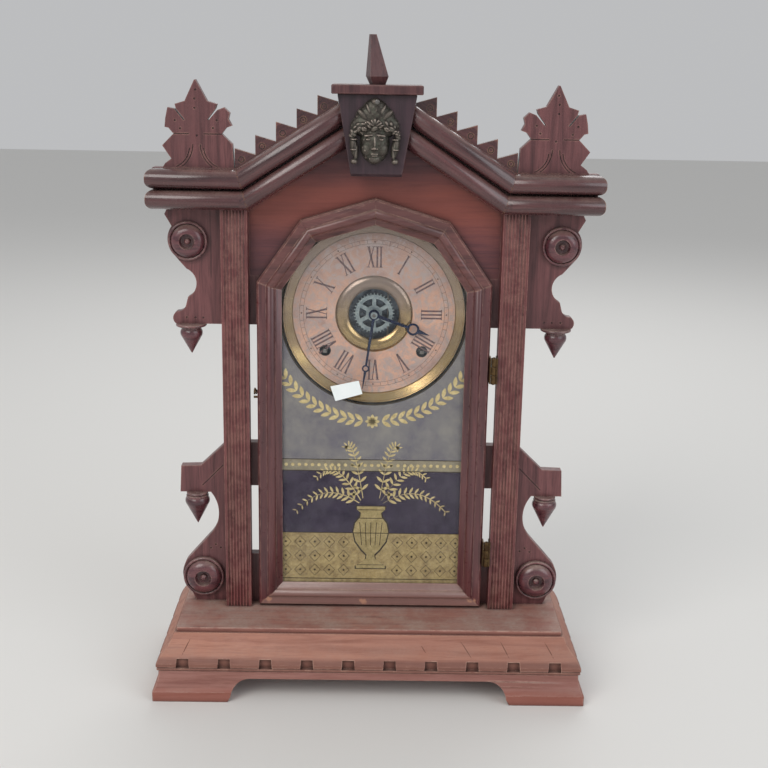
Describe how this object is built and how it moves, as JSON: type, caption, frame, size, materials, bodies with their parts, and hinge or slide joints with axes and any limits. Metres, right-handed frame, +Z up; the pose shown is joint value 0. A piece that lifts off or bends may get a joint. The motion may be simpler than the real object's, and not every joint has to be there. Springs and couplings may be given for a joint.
{
  "type": "mantel clock",
  "caption": "Wooden figural mantel clock with a hinged glazed door, paper dial, cast head mask, spring movement, pendulum and coiled gong.",
  "frame": {"origin": "bottom centre of the base, where the feet rest", "axes": "+X to the right seen from the front, +Y to the back, +Z up; the dial faces -Y"},
  "size_m": [0.376, 0.147, 0.559],
  "materials": {
    "walnut": "satin",
    "faded_walnut": "matte",
    "dark_walnut": "satin",
    "brass": "aged",
    "bronze": "patinated",
    "steel": "satin",
    "blued_steel": "blued",
    "iron": "matte",
    "dial_paper": "matte",
    "glass": "clear"
  },
  "bodies": {
    "case": {"base_board": "faded_walnut", "base_moulding": "faded_walnut", "front_foot_rail": "faded_walnut", "side_foot_rails": "faded_walnut", "pilasters": "walnut", "case_sides": "walnut", "roof_boards": "walnut", "backboard": "walnut", "front_board": "walnut", "upper_wings": "walnut", "lower_wings": "walnut", "turned_drops": "walnut", "roundels": "walnut", "cornice_board": "walnut", "cornice_rods": "dark_walnut", "crest_boards": "walnut", "leaf_ornaments": "walnut", "keystone_block": "dark_walnut", "keystone_cap": "dark_walnut", "obelisk_finial": "dark_walnut", "head_mask": "bronze", "mask_nail": "steel", "case_hinge_leaves": "brass", "hinge_pins": "steel", "latch_screw": "steel", "dial_pan": "brass", "paper_dial": "dial_paper", "dial_blocks": "walnut", "dial_screws": "steel", "movement_blocks": "walnut", "movement_screws": "steel", "front_plate": "brass", "back_plate": "brass", "plate_pillars": "steel", "mainsprings": "steel", "gong": "steel", "gong_stand": "iron"},
    "door": {"right_door_stile": "walnut", "left_door_stile": "walnut", "door_rails": "walnut", "door_glass": "glass", "door_hinge_leaves": "brass", "latch_eye": "steel"},
    "latch": {"latch_hook": "brass"},
    "minute_arbor": {"minute_arbor": "steel", "minute_hand": "blued_steel", "hand_collet": "brass"},
    "minute_wheel": {"minute_wheel": "brass"},
    "hour_wheel": {"hour_wheel": "brass", "hour_hand": "blued_steel"},
    "second_arbor": {"second_wheel": "steel"},
    "time_great_wheel": {"time_great_wheel": "brass"},
    "time_winding_arbor": {"time_winding_arbor": "steel"},
    "strike_great_wheel": {"strike_great_wheel": "brass"},
    "strike_winding_arbor": {"strike_winding_arbor": "steel"},
    "escape_wheel": {"escape_wheel": "steel"},
    "verge": {"verge": "steel"},
    "pendulum": {"pendulum_rod": "steel", "pendulum_bob": "brass"},
    "hammer": {"hammer": "steel"}
  },
  "joints": [
    {"name": "door_hinge", "type": "hinge", "parent": "case", "child": "door", "pos_m": [0.10295, -0.0125, 0.2], "axis": [0, 0, 1], "range_deg": [0, 120]},
    {"name": "latch_pivot", "type": "hinge", "parent": "case", "child": "latch", "pos_m": [-0.1017, 0.0065, 0.257], "axis": [-1, 0, 0], "range_deg": [-24, 60]},
    {"name": "minute_arbor_spin", "type": "hinge", "parent": "case", "child": "minute_arbor", "pos_m": [0, 0.019, 0.3275], "axis": [0, 1, 0], "continuous": true},
    {"name": "minute_wheel_spin", "type": "hinge", "parent": "case", "child": "minute_wheel", "pos_m": [-0.0152, 0.015, 0.3123], "axis": [0, 1, 0], "continuous": true},
    {"name": "hour_wheel_spin", "type": "hinge", "parent": "case", "child": "hour_wheel", "pos_m": [0, 0.0115, 0.3275], "axis": [0, 1, 0], "continuous": true},
    {"name": "second_arbor_spin", "type": "hinge", "parent": "case", "child": "second_arbor", "pos_m": [0.02214, 0.034, 0.31547], "axis": [0, 1, 0], "continuous": true},
    {"name": "time_great_wheel_spin", "type": "hinge", "parent": "case", "child": "time_great_wheel", "pos_m": [0.0419, 0.0435, 0.2947], "axis": [0, 1, 0], "continuous": true},
    {"name": "time_winding_spin", "type": "hinge", "parent": "case", "child": "time_winding_arbor", "pos_m": [0.0419, 0.03, 0.2947], "axis": [0, 1, 0], "continuous": true},
    {"name": "strike_great_wheel_spin", "type": "hinge", "parent": "case", "child": "strike_great_wheel", "pos_m": [-0.0419, 0.0435, 0.2947], "axis": [0, 1, 0], "continuous": true},
    {"name": "strike_winding_spin", "type": "hinge", "parent": "case", "child": "strike_winding_arbor", "pos_m": [-0.0419, 0.03, 0.2947], "axis": [0, 1, 0], "continuous": true},
    {"name": "escape_wheel_spin", "type": "hinge", "parent": "case", "child": "escape_wheel", "pos_m": [0.012, 0.0225, 0.352], "axis": [0, 1, 0], "continuous": true},
    {"name": "pendulum_swing", "type": "hinge", "parent": "case", "child": "pendulum", "pos_m": [0.012, 0.014, 0.3685], "axis": [0, 1, 0], "range_deg": [-3, 3]},
    {"name": "verge_rock", "type": "hinge", "parent": "case", "child": "verge", "pos_m": [0.012, 0.03, 0.3685], "axis": [0, 1, 0], "range_deg": [-3, 3]},
    {"name": "hammer_lift", "type": "hinge", "parent": "case", "child": "hammer", "pos_m": [-0.008, 0.0575, 0.282], "axis": [0, 1, 0], "range_deg": [0, 12]}
  ],
  "couplings": [
    {"joint": "minute_wheel_spin", "follows": "minute_arbor_spin", "ratio": -0.33333},
    {"joint": "hour_wheel_spin", "follows": "minute_arbor_spin", "ratio": 0.083333},
    {"joint": "second_arbor_spin", "follows": "minute_arbor_spin", "ratio": -1},
    {"joint": "time_great_wheel_spin", "follows": "minute_arbor_spin", "ratio": 0.083333},
    {"joint": "verge_rock", "follows": "pendulum_swing", "ratio": 1}
  ]
}
